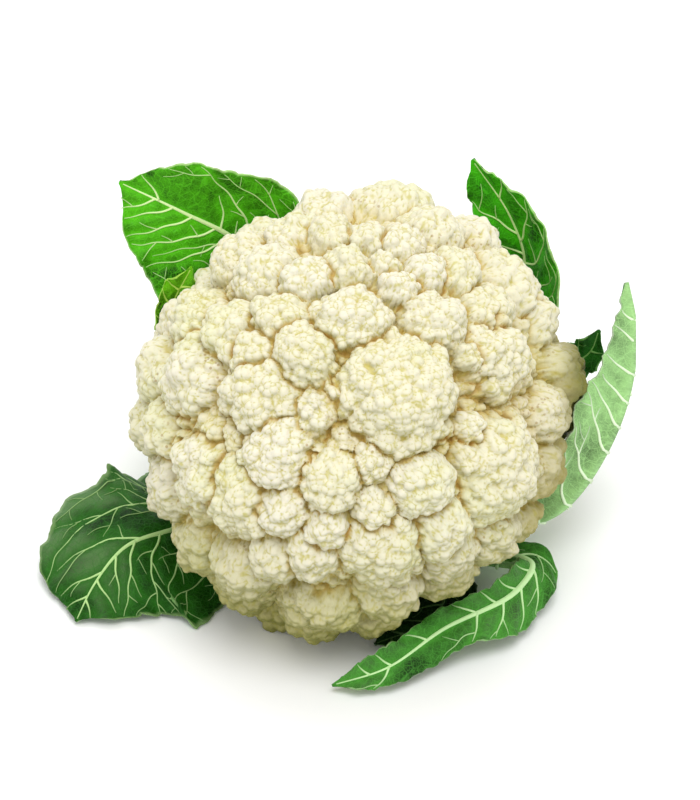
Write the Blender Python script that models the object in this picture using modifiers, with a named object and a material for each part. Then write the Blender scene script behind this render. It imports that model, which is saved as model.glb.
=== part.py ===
"""A whole cauliflower leaning forward on its cut stalk: the curd with its florets, the stalk and the leaves.

Lengths are in millimetres up to the last step, where MM turns them into metres. +X is to the right, +Y to
the back and +Z up, and the cut face of the stalk stands on z = 0.
"""

import math

import bmesh
import bpy
import numpy as np
from mathutils import Vector
from mathutils.bvhtree import BVHTree

MM = 0.001

# The head: an ellipsoid round HEART whose axis leans towards the front.
HEART = np.array((0.0, 0.0, 72.0))
LEAN = math.radians(22.0)
HALF_WIDTH = 85.0
HALF_DEPTH = 90.0
HALF_HEIGHT = 76.0
AXIS = np.array((0.0, -math.sin(LEAN), math.cos(LEAN)))
REAR = np.array((0.0, math.cos(LEAN), math.sin(LEAN)))
SIDE = np.array((1.0, 0.0, 0.0))

# The face of the head is laid out as seen from the front, looking down by this much.
FACE_ELEVATION = math.radians(38.0)
FACE_OUT = np.array((0.0, -math.cos(FACE_ELEVATION), math.sin(FACE_ELEVATION)))
FACE_UP = np.array((0.0, math.sin(FACE_ELEVATION), math.cos(FACE_ELEVATION)))

# Florets of the face: right and up of HEART in that view, radius, and how far the top stands out.
FACE_FLORETS = [
    (23, 6, 24, 10), (2, 37, 14, 5), (36, 36, 14, 5), (-18, 22, 13, 6), (-37, 6, 15, 5),
    (-38, 22, 9, 4), (-28, 37, 12, 4), (0, 57, 10, 4), (-17, 53, 9, 4), (-34, 57, 13, 4),
    (16, 57, 6, 3), (22, 49, 8, 3), (32, 56, 8, 3), (44, 56, 11, 4), (-6, 72, 10, 3),
    (10, 69, 8, 3), (22, 68, 9, 3), (20, 84, 20, 6), (-22, 76, 16, 3), (35, 74, 14, 4),
    (52, 70, 14, 4), (63, 23, 19, 5), (58, 40, 13, 4), (49, 22, 5, 2), (66, 52, 17, 5),
    (76, 38, 13, 4), (82, -2, 12, 4), (90, 14, 15, 7), (63, -27, 25, 7), (30, -30, 12, 6),
    (11, -22, 7, 1), (13, -58, 19, 6), (12, -40, 8, 3), (-7, -30, 12, 5), (-8, -47, 8, 4),
    (-29, -20, 15, 5), (-26, -40, 9, 4), (-43, -38, 18, 4), (-60, -27, 17, 4), (-14, -2, 9, -1),
    (-14, -58, 10, 4), (-29, -59, 9, 4), (-10, -80, 15, 6), (-44, -74, 14, 5), (-62, -57, 16, 5),
    (-78, -8, 12, 3), (-80, 16, 14, 4), (-66, 14, 17, 5), (-48, 32, 14, 4), (-63, 38, 15, 4),
    (51, -8, 6, 0), (43, -60, 11, 3), (62, -62, 11, 3), (78, -50, 11, 4),
]

# Where the head leaves its ellipsoid: right, up and out of HEART in that view, the share by which it swells
# or sinks there, and how many degrees the place spreads.
SWELLINGS = [
    (-64, 54, 0, -0.15, 17), (-84, -28, 0, -0.07, 24), (98, 12, -25, 0.09, 20), (30, 92, -10, 0.03, 25),
    (62, 68, 0, 0.04, 18), (48, -77, 10, -0.12, 18), (-22, 88, -10, -0.05, 20), (-8, -88, -5, 0.04, 13),
]

# The other florets follow a golden-angle spiral from the top of the head to its rim.
GOLDEN_ANGLE = math.pi * (3 - math.sqrt(5))
SPIRAL_COUNT = 900
RIM_ANGLE = math.radians(121.0)
SPIRAL_RADIUS = (12.0, 18.0)
SPIRAL_RISE = (3.0, 6.0)
SPIRAL_SPACING = 0.86
SEED = 7

# A floret is a dome, fuller than its radius above, that carries rounded buds. Low florets fill the gaps.
FULLNESS = 1.1
BUD_RADIUS = 6.5
BUD_SHARE = 0.5
BUD_DENSITY = 2.2
BUD_SINK = 0.62
BUD_SPREAD = math.radians(88.0)
BUD_TURN = 1.7
LOW_COUNT = 320
LOW_RADIUS = (8.0, 12.0)
LOW_DEPTH = (3.0, 8.0)
CORE_DEPTH = 11.0
NEAR_COSINE = 0.75

# The underside is flat over the stalk and turns down towards the rim.
UNDER_LEVEL = -32.0
UNDER_FLAT_RADIUS = 30.0
UNDER_RIM_RADIUS = 80.0
UNDER_RIM_DROP = 20.0
UNDER_STEPS = 12
LEAF_CLEARANCE = 2.8
CLEARANCE_STEPS = 60
CLEARANCE_STEP = 0.3
STEEPEST = 3.0
EASE_ROUNDS = 3
HEAD_FINENESS = 6
HEAD_SHARE_KEPT = 0.45

# The stalk: the radius at each level along the axis below HEART.
STALK_PROFILE = [(-32.6, 33.0), (-40.0, 28.0), (-50.0, 24.5), (-66.0, 23.5), (-100.0, 25.0)]
STALK_SIDES = 28
STALK_RINGS = 10
STALK_GAP = 0.4
BRANCH_COUNT = 9
BRANCH_LEVELS = (-45.0, -45.5)
BRANCH_REACH = (12.0, 60.0)
BRANCH_RADII = (9.0, 5.0)
BRANCH_SIDES = 9
FLOOR_BLOCK = 300.0

# The layout above and below is round the head's middle; this moves the whole box over the origin.
TO_MIDDLE = (4.8, -1.8, 0.0)

# Leaves. Along a leaf, u runs from 0 at the stalk to 1 at the tip, and the half widths are given at STATIONS.
STATIONS = (0.0, 0.2, 0.4, 0.6, 0.8, 0.93, 1.0)
BLADE_THICKNESS = 0.8
# The rib takes this share of the columns, and its ridge below runs a little further out.
RIB_CELL = 0.25
RIDGE_CELL = 0.5
RIB_TAPER = 0.85
RIB_SHARE = 0.8
RIB_STEP = 0.01
# The edge's scallops and waves, out of step on the two sides, and the flat part next to the stalk.
SCALLOP = 0.05
SCALLOP_COUNT = 5.5
SCALLOP_OFFSET = 0.4
WAVE_OFFSET = 0.37
FLAT_SHARE = 0.4
FLOOR_GAP = 0.25
LEAVES = {
    "leaf_back_left": {
        "rib": [(-4, 36, 13), (-26, 76, 34), (-40, 93, 66), (-47, 81, 98), (-67, 77, 114), (-93, 80, 127)],
        "face": [(0, -0.5, 0.85), (0.2, -0.95, 0.2), (0.1, -0.95, 0.3)],
        "left": (8, 8, 20, 36, 36, 20, 2),
        "right": (8, 8, 18, 30, 28, 15, 2),
        "cup": (8, 8), "curl": (10, 6), "wave": (3.0, 3.0, 0.2), "stem": (8.0, 6.5), "rows": 18,
    },
    "leaf_back_left_inner": {
        "rib": [(-14, 27, 22), (-50, 53, 36), (-73, 58, 60), (-71, 51, 86), (-63, 46, 108)],
        "face": [(0, -0.3, 0.95), (0.6, -0.6, 0.5), (0.2, -0.8, 0.5)],
        "left": (5, 5, 7, 9, 9, 7, 1.5),
        "right": (5, 5, 7, 9, 9, 7, 1.5),
        "cup": (12, 12), "curl": (5, 5), "wave": (1.5, 3.0, 0.0), "stem": (5.0, 4.5), "rows": 12,
    },
    "leaf_back_right": {
        "rib": [(6, 36, 17), (36, 78, 36), (66, 91, 62), (73, 80, 90), (67, 82, 108), (51, 90, 131)],
        "face": [(0, -0.5, 0.85), (-0.5, -0.8, 0.2), (-0.35, -0.9, 0.2)],
        "left": (8, 8, 14, 15, 14, 11, 3),
        "right": (8, 8, 22, 31, 22, 9, 3),
        "cup": (6, 18), "curl": (10, 20), "wave": (4.5, 3.5, 0.35), "stem": (8.0, 6.5), "rows": 18,
    },
    "leaf_right": {
        "rib": [(17, 30, 17), (54, 7, 11), (84, -7, 31), (100, -2, 53), (111, 13, 75), (113.5, 27, 94),
                (111, 38, 107)],
        "face": [(-0.1, 0.1, 0.95), (-0.66, 0.66, -0.1), (-0.66, 0.66, -0.26)],
        "left": (6, 6, 5, 11, 10, 5, 1.5),
        "right": (8, 8, 9, 20, 14, 7, 1.5),
        "cup": (70, 6), "curl": (10, 10), "wave": (2.5, 3.0, 0.6), "stem": (8.0, 6.5), "rows": 18,
    },
    "leaf_right_inner": {
        "rib": [(12, 30, 26), (52, 50, 36), (86, 54, 50), (100, 51, 62), (103, 49, 74)],
        "face": [(0, -0.1, 0.95), (-0.6, -0.6, 0.5), (-0.3, -0.9, 0.2)],
        "left": (5, 5, 8, 10, 10, 7, 2),
        "right": (5, 5, 8, 10, 9, 6, 2),
        "cup": (10, 10), "curl": (5, 5), "wave": (1.5, 2.0, 0.1), "stem": (5.0, 4.5), "rows": 12,
    },
    "leaf_front_right": {
        "rib": [(12, 15, 11), (50, -12, 11), (75, -30, 17), (68, -48, 18.5), (38, -68, 15.5), (15, -85, 10),
                (-6, -89, 5)],
        "face": [(0.1, 0.1, 0.95), (0.35, -0.2, 0.9), (0.15, -0.3, 0.9)],
        "left": (7, 13, 13, 14, 9, 6, 2),
        "right": (7, 7, 8, 8, 8, 6, 2),
        "cup": (-14, 15), "curl": (-14, 10), "wave": (4.0, 3.2, 0.1), "stem": (8.0, 6.0), "rows": 20,
    },
    "leaf_under_right": {
        "rib": [(0, 10, 6), (20, -14, 6), (40, -33, 5.5), (32, -51, 5), (11, -63, 4)],
        "face": [(0, 0, 1), (0, 0, 1), (0, 0, 1)],
        "left": (5, 5, 10, 13, 12, 8, 2),
        "right": (5, 5, 10, 14, 13, 8, 2),
        "cup": (0, 0), "curl": (0, 0), "wave": (1.0, 3.0, 0.0), "stem": (5.0, 3.5), "rows": 12,
    },
    "leaf_front_left": {
        "rib": [(-14, 24, 13), (-48, 6, 14), (-70, -10, 19), (-90, -23, 20), (-102, -37, 12), (-109, -49, 3)],
        "face": [(0, 0, 1), (-0.1, -0.1, 0.95), (-0.3, -0.3, 0.9)],
        "left": (8, 16, 34, 44, 34, 18, 2),
        "right": (8, 42, 50, 50, 38, 20, 2),
        "cup": (-18, -2), "curl": (-14, -14), "wave": (4.0, 3.0, 0.3), "stem": (8.0, 6.5), "rows": 18,
    },
}
COLUMNS = 8

# Colours: base colour, roughness.
CREAM = ((0.86, 0.80, 0.58, 1.0), 0.62)
PALE_GREEN = ((0.62, 0.72, 0.42, 1.0), 0.5)
LEAF_GREEN = ((0.07, 0.22, 0.03, 1.0), 0.45)


def baked(obj, name, collection, material):
    """A plain object with the mesh that the modifiers of obj give, in place of obj."""
    graph = bpy.context.evaluated_depsgraph_get()
    mesh = bpy.data.meshes.new_from_object(obj.evaluated_get(graph))
    bpy.data.objects.remove(obj, do_unlink=True)
    mesh.materials.clear()
    mesh.materials.append(material)
    result = bpy.data.objects.new(name, mesh)
    collection.objects.link(result)
    return result


def unit(vector):
    return vector / np.linalg.norm(vector)


def clear_scene():
    for obj in list(bpy.data.objects):
        bpy.data.objects.remove(obj, do_unlink=True)


def new_collection(name, shown=True):
    collection = bpy.data.collections.new(name)
    collection.hide_render = not shown
    bpy.context.scene.collection.children.link(collection)
    return collection


def new_material(name, look):
    colour, roughness = look
    material = bpy.data.materials.new(name)
    material.use_nodes = True
    shader = material.node_tree.nodes["Principled BSDF"]
    shader.inputs["Base Color"].default_value = colour
    shader.inputs["Roughness"].default_value = roughness
    shader.inputs["Metallic"].default_value = 0.0
    return material


def new_object(name, bm, collection, material=None):
    """An object from a bmesh in millimetres, shaded smooth."""
    bmesh.ops.scale(bm, vec=(MM, MM, MM), verts=bm.verts)
    mesh = bpy.data.meshes.new(name)
    bm.to_mesh(mesh)
    bm.free()
    mesh.shade_smooth()
    obj = bpy.data.objects.new(name, mesh)
    collection.objects.link(obj)
    if material:
        mesh.materials.append(material)
    return obj


def through(knots, values, at):
    """A smooth curve through values at knots, read at one place."""
    values = np.asarray(values, float)
    slopes = np.gradient(values, np.asarray(knots, float), axis=0)
    k = int(np.clip(np.searchsorted(knots, at) - 1, 0, len(knots) - 2))
    step = knots[k + 1] - knots[k]
    t = (at - knots[k]) / step
    return (
        (2 * t**3 - 3 * t**2 + 1) * values[k]
        + (t**3 - 2 * t**2 + t) * step * slopes[k]
        + (-2 * t**3 + 3 * t**2) * values[k + 1]
        + (t**3 - t**2) * step * slopes[k + 1]
    )


def to_head(vector):
    return np.array((vector @ SIDE, vector @ REAR, vector @ AXIS))


def swell(directions):
    """How far the head swells or sinks from its ellipsoid in each direction, as a factor."""
    factor = np.ones(len(directions))
    for right, up, out, share, spread in SWELLINGS:
        middle = unit(to_head(right * SIDE + up * FACE_UP + out * FACE_OUT))
        angle = np.degrees(np.arccos(np.clip(directions @ middle, -1, 1)))
        factor += share * np.exp(-((angle / spread) ** 2))
    return factor


def head_point(direction):
    """The point of the head in a direction given along SIDE, REAR and AXIS."""
    scaled = direction / np.array((HALF_WIDTH, HALF_DEPTH, HALF_HEIGHT))
    return direction / np.linalg.norm(scaled) * swell(direction[None])[0]


def spiral(count, at):
    """A direction on a golden-angle spiral from the top of the head to its rim; at runs from 0 to count."""
    polar = RIM_ANGLE * math.sqrt(at / count)
    turn = math.floor(at) * GOLDEN_ANGLE
    return np.array((math.sin(polar) * math.cos(turn), math.sin(polar) * math.sin(turn), math.cos(polar)))


def face_direction(right, up):
    """The direction from HEART to the place on the ellipsoid that the front view shows at (right, up)."""
    place = right * SIDE + up * FACE_UP
    axes = np.array((HALF_WIDTH, HALF_DEPTH, HALF_HEIGHT))
    flat, out = to_head(place) / axes, to_head(FACE_OUT) / axes
    a, b, c = out @ out, 2 * flat @ out, flat @ flat - 1
    depth = (-b + math.sqrt(max(b * b - 4 * a * c, 0.0))) / (2 * a)
    return unit(to_head(place + depth * FACE_OUT))


def florets():
    """Every floret as (centre, radius, outward direction), relative to HEART along SIDE, REAR and AXIS."""
    made = []
    for right, up, radius, rise in FACE_FLORETS:
        out = face_direction(right, up)
        made.append((head_point(out) - out * (radius - rise), float(radius), out))
    random = np.random.default_rng(SEED)
    tops = [centre + out * radius for centre, radius, out in made]
    for k in range(SPIRAL_COUNT):
        out = spiral(SPIRAL_COUNT, k + 0.5)
        radius = random.uniform(*SPIRAL_RADIUS)
        top = head_point(out) + out * random.uniform(*SPIRAL_RISE)
        near = [np.linalg.norm(top - t) < SPIRAL_SPACING * (radius + made[i][1]) for i, t in enumerate(tops)]
        if not any(near):
            made.append((top - out * radius, radius, out))
            tops.append(top)
    return [(centre - out * (FULLNESS - 1) * radius, FULLNESS * radius, out) for centre, radius, out in made]


def low_florets():
    """The small domes that fill the gaps, as (centre, radius)."""
    random = np.random.default_rng(SEED + 1)
    made = []
    for k in range(LOW_COUNT):
        out = spiral(LOW_COUNT, k + 0.5)
        radius = random.uniform(*LOW_RADIUS)
        made.append((head_point(out) - out * (radius + random.uniform(*LOW_DEPTH)), radius))
    return made


def buds(centre, radius, out, phase):
    """The rounded buds over one floret, as (centre, radius)."""
    size = min(BUD_RADIUS, BUD_SHARE * radius)
    count = max(4, round(BUD_DENSITY * (radius / size) ** 2))
    across = unit(np.cross(out, (0.3, 0.5, 0.8)))
    along = np.cross(out, across)
    made = []
    for k in range(count):
        polar = BUD_SPREAD * math.sqrt((k + 0.3) / count)
        turn = phase + k * GOLDEN_ANGLE
        way = math.cos(polar) * out + math.sin(polar) * (math.cos(turn) * across + math.sin(turn) * along)
        made.append((centre + way * (radius - BUD_SINK * size), size))
    return made


def reach(directions, centre, radius):
    """How far each ray from HEART runs before it leaves a sphere, or 0 where it misses."""
    along = directions @ centre
    inside = along**2 - centre @ centre + radius**2
    return np.where(inside > 0, along + np.sqrt(np.maximum(inside, 0)), 0)


def head_radii(directions):
    """The distance from HEART to the curd's surface in each direction."""
    axes = np.array((HALF_WIDTH, HALF_DEPTH, HALF_HEIGHT)) - CORE_DEPTH
    radii = swell(directions) / np.linalg.norm(directions / axes, axis=1)
    domes = low_florets()
    for n, (centre, radius, out) in enumerate(florets()):
        domes += [(centre, radius), *buds(centre, radius, out, n * BUD_TURN)]
    for centre, radius in domes:
        near = np.flatnonzero(directions @ unit(centre) > NEAR_COSINE)
        radii[near] = np.maximum(radii[near], reach(directions[near], centre, radius))
    flat = np.hypot(directions[:, 0], directions[:, 1])
    for _ in range(UNDER_STEPS):
        rim = np.clip((radii * flat - UNDER_FLAT_RADIUS) / (UNDER_RIM_RADIUS - UNDER_FLAT_RADIUS), 0, None)
        level = UNDER_LEVEL - UNDER_RIM_DROP * rim**2
        below = radii * directions[:, 2] < level
        radii[below] = 0.5 * (radii[below] + level[below] / directions[below, 2])
    return radii


def build_curd(collection, leaves, material):
    """One closed surface that swells into florets and stays clear of the leaves and the ground."""
    bm = bmesh.new()
    bmesh.ops.create_icosphere(bm, subdivisions=HEAD_FINENESS, radius=1.0)
    local = np.array([v.co for v in bm.verts])
    world = local @ np.array((SIDE, REAR, AXIS))
    radii = head_radii(local)
    tree = leaf_tree(leaves)
    heart = Vector(HEART)
    held = []
    for vert, way, free in zip(bm.verts, world, radii):
        way, radius = Vector(way), free
        hit, _, _, distance = tree.ray_cast(heart, way, radius + LEAF_CLEARANCE)
        if hit:
            radius = distance - LEAF_CLEARANCE
        for _ in range(CLEARANCE_STEPS):
            if tree.find_nearest(heart + way * radius, LEAF_CLEARANCE)[0] is None:
                break
            radius -= CLEARANCE_STEP * LEAF_CLEARANCE
        if radius < free:
            held.append(vert)
        vert.co = heart + way * radius
    ease_steps(held, heart)
    fine = new_object("curd_fine", bm, collection)
    decimate = fine.modifiers.new("fewer_faces", "DECIMATE")
    decimate.ratio = HEAD_SHARE_KEPT
    curd = baked(fine, "curd", collection, material)
    for vert in curd.data.vertices:
        vert.co.z = max(vert.co.z, 0.0)
    return curd


def ease_steps(held, heart):
    """Lowers what stands steeply over the points that a leaf holds down, so that no face cuts the leaf."""
    for _ in range(EASE_ROUNDS):
        lowered = []
        for vert in held:
            top = (vert.co - heart).length + STEEPEST
            for edge in vert.link_edges:
                other = edge.other_vert(vert)
                radius = (other.co - heart).length
                if radius > top:
                    other.co = heart + (other.co - heart) * top / radius
                    lowered.append(other)
        held = lowered


def leaf_tree(leaves):
    """One search tree, in millimetres, over the finished faces of all the leaves."""
    graph = bpy.context.evaluated_depsgraph_get()
    points, faces = [], []
    for leaf in leaves:
        mesh = leaf.evaluated_get(graph).to_mesh()
        first = len(points)
        points += [v.co / MM for v in mesh.vertices]
        faces += [[first + i for i in p.vertices] for p in mesh.polygons]
    return BVHTree.FromPolygons(points, faces)


def build_leaf(name, shape, collection, cutter, material):
    """A leaf as one sheet bent round its midrib, thick along the rib and thin at the edge."""
    rib = np.array(shape["rib"], float)
    knots = np.concatenate(([0], np.cumsum(np.linalg.norm(np.diff(rib, axis=0), axis=1))))
    knots /= knots[-1]
    bm = bmesh.new()
    bmesh.ops.create_grid(bm, x_segments=shape["rows"], y_segments=COLUMNS, size=1.0)
    widest = max(max(shape["left"]), max(shape["right"]))
    depth, half = shape["stem"]
    thick = []
    for vert in bm.verts:
        u, side = (vert.co.x + 1) / 2, -vert.co.y
        spot = through(knots, rib, u)
        ahead, behind = min(u + RIB_STEP, 1.0), max(u - RIB_STEP, 0.0)
        along = unit(through(knots, rib, ahead) - through(knots, rib, behind))
        face = through((0.0, 0.5, 1.0), shape["face"], u)
        face = unit(face - along * (face @ along))
        across = np.cross(along, face)
        hand = 1 if side > 0 else 0
        width = through(STATIONS, shape["right" if hand else "left"], u)
        width *= 1 + SCALLOP * math.sin(2 * math.pi * (SCALLOP_COUNT * u + SCALLOP_OFFSET * hand))
        slimmed = 1 - RIB_TAPER * u
        rib_half = min(half * slimmed, RIB_SHARE * width)
        cell = abs(side)
        if cell <= RIB_CELL:
            out = rib_half * cell / RIB_CELL
        else:
            out = rib_half + (width - rib_half) * (cell - RIB_CELL) / (1 - RIB_CELL)
        angle = math.radians(shape["cup"][hand] + 0.5 * shape["curl"][hand] * out / width)
        angle *= min(1.0, u / FLAT_SHARE)
        height, count, phase = shape["wave"]
        turns = count * u + phase + WAVE_OFFSET * hand
        wave = height * (out / widest) ** 1.5 * math.sin(2 * math.pi * turns)
        sideways = math.copysign(out * math.cos(angle), side)
        point = spot + across * sideways + face * (out * math.sin(angle) + wave)
        ridge = max(0.0, 1 - cell / RIDGE_CELL) ** 2
        thickness = BLADE_THICKNESS + depth * slimmed * ridge
        point[2] = max(point[2], FLOOR_GAP + thickness)
        vert.co = point
        thick.append(thickness)
    bmesh.ops.triangulate(bm, faces=bm.faces, quad_method="SHORT_EDGE")
    obj = new_object(name, bm, collection, material)
    group = obj.vertex_groups.new(name="thickness")
    for index, thickness in enumerate(thick):
        group.add([index], thickness / max(thick), "REPLACE")
    sheet = obj.modifiers.new("sheet", "SOLIDIFY")
    sheet.thickness = max(thick) * MM
    sheet.offset = -1.0
    sheet.vertex_group = group.name
    flush = obj.modifiers.new("flush_with_stalk", "BOOLEAN")
    flush.object = cutter
    flush.operation = "DIFFERENCE"
    return obj


def stalk_trunk(name, collection, grow):
    """The stalk as rings round the leaning axis, each grown by the given amount."""
    bm = bmesh.new()
    length = STALK_PROFILE[0][0] - STALK_PROFILE[-1][0]
    bmesh.ops.create_cone(bm, cap_ends=True, segments=STALK_SIDES, radius1=1.0, radius2=1.0, depth=1.0)
    sides = [e for e in bm.edges if e.verts[0].co.z * e.verts[1].co.z < 0]
    bmesh.ops.subdivide_edges(bm, edges=sides, cuts=STALK_RINGS)
    levels = np.array([level for level, _ in STALK_PROFILE])[::-1]
    sizes = np.array([size for _, size in STALK_PROFILE])[::-1]
    for vert in bm.verts:
        level = STALK_PROFILE[-1][0] + (vert.co.z + 0.5) * length
        size = np.interp(level, levels, sizes) + grow
        turn = math.atan2(vert.co.y, vert.co.x)
        place = SIDE * math.cos(turn) * size + REAR * math.sin(turn) * size + AXIS * level
        vert.co = HEART + place
    return new_object(name, bm, collection)


def branch(name, turn, collection):
    """One thick branch from the stalk out under the florets."""
    way = SIDE * math.cos(turn) + REAR * math.sin(turn)
    start = HEART + way * BRANCH_REACH[0] + AXIS * BRANCH_LEVELS[0]
    end = HEART + way * BRANCH_REACH[1] + AXIS * BRANCH_LEVELS[1]
    bm = bmesh.new()
    length = np.linalg.norm(end - start)
    thick, thin = BRANCH_RADII
    bmesh.ops.create_cone(bm, cap_ends=True, segments=BRANCH_SIDES, radius1=thick, radius2=thin, depth=length)
    turned = Vector(end - start).to_track_quat("Z", "Y").to_matrix()
    bmesh.ops.rotate(bm, verts=bm.verts, matrix=turned)
    bmesh.ops.translate(bm, verts=bm.verts, vec=Vector((start + end) / 2))
    return new_object(name, bm, collection)


def build_stalk(collection, helpers, material):
    """The stalk with its branches, cut level where it stands on the ground."""
    trunk = stalk_trunk("trunk", helpers, 0.0)
    branches = new_collection("branches", shown=False)
    for n in range(BRANCH_COUNT):
        turn = 2 * math.pi * (n + 0.5) / BRANCH_COUNT
        branch(f"branch_{n}", turn, branches)
    join = trunk.modifiers.new("branches", "BOOLEAN")
    join.operation = "UNION"
    join.operand_type = "COLLECTION"
    join.collection = branches
    join.solver = "MANIFOLD"
    stalk = baked(trunk, "stalk", collection, material)
    for helper in list(branches.objects):
        bpy.data.objects.remove(helper, do_unlink=True)
    bpy.data.collections.remove(branches)
    bm = bmesh.new()
    bmesh.ops.create_cube(bm, size=FLOOR_BLOCK)
    bmesh.ops.translate(bm, verts=bm.verts, vec=(0, 0, -FLOOR_BLOCK / 2))
    cut = stalk.modifiers.new("level_cut", "BOOLEAN")
    cut.operation = "DIFFERENCE"
    cut.object = as_cutter(new_object("ground_cutter", bm, helpers))
    return stalk


def as_cutter(obj):
    obj.hide_render = True
    obj.display_type = "WIRE"
    return obj


def main():
    clear_scene()
    parts = new_collection("cauliflower")
    helpers = new_collection("helpers", shown=False)
    cutter = as_cutter(stalk_trunk("stalk_cutter", helpers, STALK_GAP))
    leaves = []
    for name, shape in LEAVES.items():
        leaves.append(build_leaf(name, shape, parts, cutter, new_material(name, LEAF_GREEN)))
    build_stalk(parts, helpers, new_material("stalk", PALE_GREEN))
    build_curd(parts, leaves, new_material("curd", CREAM))
    for obj in bpy.data.objects:
        obj.location = Vector(TO_MIDDLE) * MM


main()
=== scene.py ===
"""The looks of the cauliflower: a fine curd, veined leaves, the stalk, soft light and the camera.

Lengths are in millimetres in the CAD's own layout, round the middle of the head, up to the last
step, where to_world moves them over the origin and turns them into metres.
"""

import math

import bmesh
import bpy
import numpy as np
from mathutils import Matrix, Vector
from mathutils.bvhtree import BVHTree


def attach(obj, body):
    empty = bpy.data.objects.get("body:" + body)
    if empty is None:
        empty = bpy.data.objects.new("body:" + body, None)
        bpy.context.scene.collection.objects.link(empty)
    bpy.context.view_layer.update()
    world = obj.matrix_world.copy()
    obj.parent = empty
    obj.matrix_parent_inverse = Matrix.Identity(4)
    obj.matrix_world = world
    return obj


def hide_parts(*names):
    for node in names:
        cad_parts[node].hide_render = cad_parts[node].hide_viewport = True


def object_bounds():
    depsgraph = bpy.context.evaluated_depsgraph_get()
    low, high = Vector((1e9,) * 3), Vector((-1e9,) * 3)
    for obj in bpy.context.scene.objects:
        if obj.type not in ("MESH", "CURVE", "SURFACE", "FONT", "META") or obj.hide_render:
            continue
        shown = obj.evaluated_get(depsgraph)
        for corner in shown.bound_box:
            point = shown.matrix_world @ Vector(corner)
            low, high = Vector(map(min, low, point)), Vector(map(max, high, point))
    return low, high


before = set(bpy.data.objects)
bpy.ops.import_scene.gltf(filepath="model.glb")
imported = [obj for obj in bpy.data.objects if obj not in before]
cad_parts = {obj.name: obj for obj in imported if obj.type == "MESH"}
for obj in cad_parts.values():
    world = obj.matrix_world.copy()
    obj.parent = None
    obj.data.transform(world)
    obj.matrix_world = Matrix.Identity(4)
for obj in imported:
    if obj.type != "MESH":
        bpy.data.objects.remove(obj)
cad_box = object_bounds()

MM = 0.001
TO_MIDDLE = np.array((4.8, -1.8, 0.0))

# The fine surfaces stay inside the CAD's box, in the layout's millimetres.
BOX_INSET = 0.1
BOX_LOW = np.array(cad_box[0]) / MM - TO_MIDDLE + (BOX_INSET, BOX_INSET, 0.0)
BOX_HIGH = np.array(cad_box[1]) / MM - TO_MIDDLE - BOX_INSET

# The head, as in the CAD: an ellipsoid round HEART whose axis leans towards the front.
HEART = np.array((0.0, 0.0, 72.0))
LEAN = math.radians(22.0)
HALF_AXES = np.array((85.0, 90.0, 76.0))
AXIS = np.array((0.0, -math.sin(LEAN), math.cos(LEAN)))
REAR = np.array((0.0, math.cos(LEAN), math.sin(LEAN)))
SIDE = np.array((1.0, 0.0, 0.0))
FACE_ELEVATION = math.radians(38.0)
FACE_OUT = np.array((0.0, -math.cos(FACE_ELEVATION), math.sin(FACE_ELEVATION)))
FACE_UP = np.array((0.0, math.sin(FACE_ELEVATION), math.cos(FACE_ELEVATION)))

# Florets of the face: right and up of HEART in the front view, radius, and how far the top stands
# out of the ellipsoid.
FACE_FLORETS = [
    (23, 6, 24, 10), (2, 37, 14, 5), (36, 36, 14, 5), (-18, 22, 13, 6), (-37, 6, 15, 5),
    (-38, 22, 9, 4), (-28, 37, 12, 4), (0, 57, 10, 4), (-17, 53, 9, 4), (-34, 57, 13, 4),
    (16, 57, 6, 3), (22, 49, 8, 3), (32, 56, 8, 3), (44, 56, 11, 4), (-6, 72, 10, 3),
    (10, 69, 8, 3), (22, 68, 9, 3), (20, 84, 20, 6), (-22, 76, 16, 3), (35, 74, 14, 4),
    (52, 70, 14, 4), (63, 23, 19, 5), (58, 40, 13, 4), (49, 22, 5, 2), (66, 52, 17, 5),
    (76, 38, 13, 4), (82, -2, 12, 4), (90, 14, 15, 7), (63, -27, 25, 7), (30, -30, 12, 6),
    (11, -22, 7, 1), (13, -58, 19, 6), (12, -40, 8, 3), (-7, -30, 12, 5), (-8, -47, 8, 4),
    (-29, -20, 15, 5), (-26, -40, 9, 4), (-43, -38, 18, 4), (-60, -27, 17, 4), (-14, -2, 9, -1),
    (-14, -58, 10, 4), (-29, -59, 9, 4), (-10, -80, 15, 6), (-44, -74, 14, 5), (-62, -57, 16, 5),
    (-78, -8, 12, 3), (-80, 16, 14, 4), (-66, 14, 17, 5), (-48, 32, 14, 4), (-63, 38, 15, 4),
    (51, -8, 6, 0), (43, -60, 11, 3), (62, -62, 11, 3), (78, -50, 11, 4),
]

# The other florets follow a golden-angle spiral from the top of the head to its rim.
GOLDEN_ANGLE = math.pi * (3 - math.sqrt(5))
SPIRAL_COUNT = 900
RIM_ANGLE = math.radians(121.0)
SPIRAL_RADIUS = (12.0, 18.0)
SPIRAL_RISE = (3.0, 6.0)
SPIRAL_SPACING = 0.86
SEED = 7

# Where the head leaves its ellipsoid: right, up and out, the share by which it swells or sinks,
# and over how many degrees.
SWELLINGS = [
    (-64, 54, 0, -0.15, 17), (-84, -28, 0, -0.07, 24), (98, 12, -25, 0.09, 20),
    (30, 92, -10, 0.03, 25), (62, 68, 0, 0.04, 18), (48, -77, 10, -0.12, 18),
    (-22, 88, -10, -0.05, 20), (-8, -88, -5, 0.04, 13),
]
FULLNESS = 1.1
LOW_COUNT = 320
LOW_RADIUS = (8.0, 12.0)
LOW_DEPTH = (3.0, 8.0)
CORE_DEPTH = 11.0

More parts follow.
